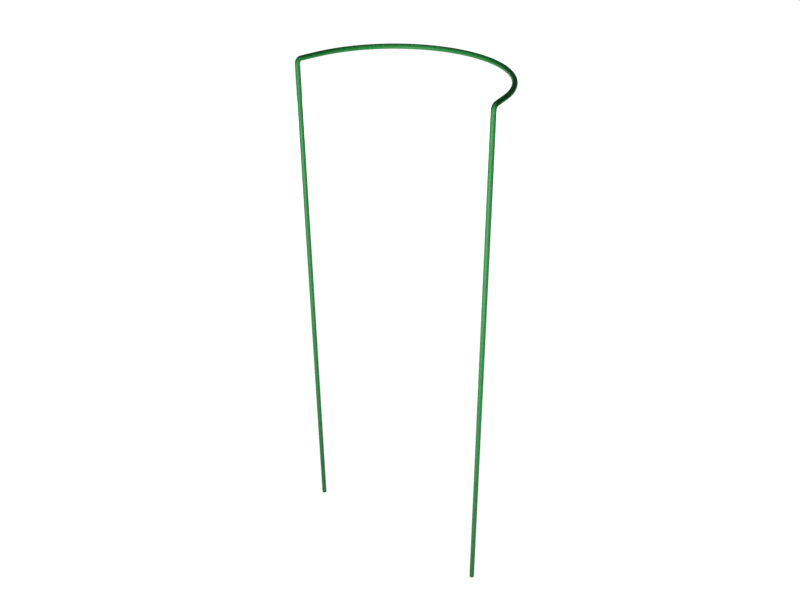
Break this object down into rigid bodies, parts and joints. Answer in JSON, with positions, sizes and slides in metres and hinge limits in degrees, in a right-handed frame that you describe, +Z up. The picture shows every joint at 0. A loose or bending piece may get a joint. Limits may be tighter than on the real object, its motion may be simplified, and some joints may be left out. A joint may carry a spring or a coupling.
{
  "type": "plant support",
  "caption": "Half-round hoop of green plastic-coated steel wire on straight legs that push into the soil, to hold up leaning plants.",
  "frame": {"origin": "midway between the centres of the cut ends of the legs, in the plane of those ends", "axes": "+Z up along the legs, +X from the left leg to the right leg seen from the open front, +Y towards the back of the hoop"},
  "size_m": [0.3134, 0.1624, 0.75],
  "materials": {
    "bare_steel": "sheared wire end, dull",
    "green_plastic": "satin extruded skin"
  },
  "bodies": {
    "root": {"steel_core": "bare_steel", "plastic_coating": "green_plastic"}
  },
  "joints": []
}
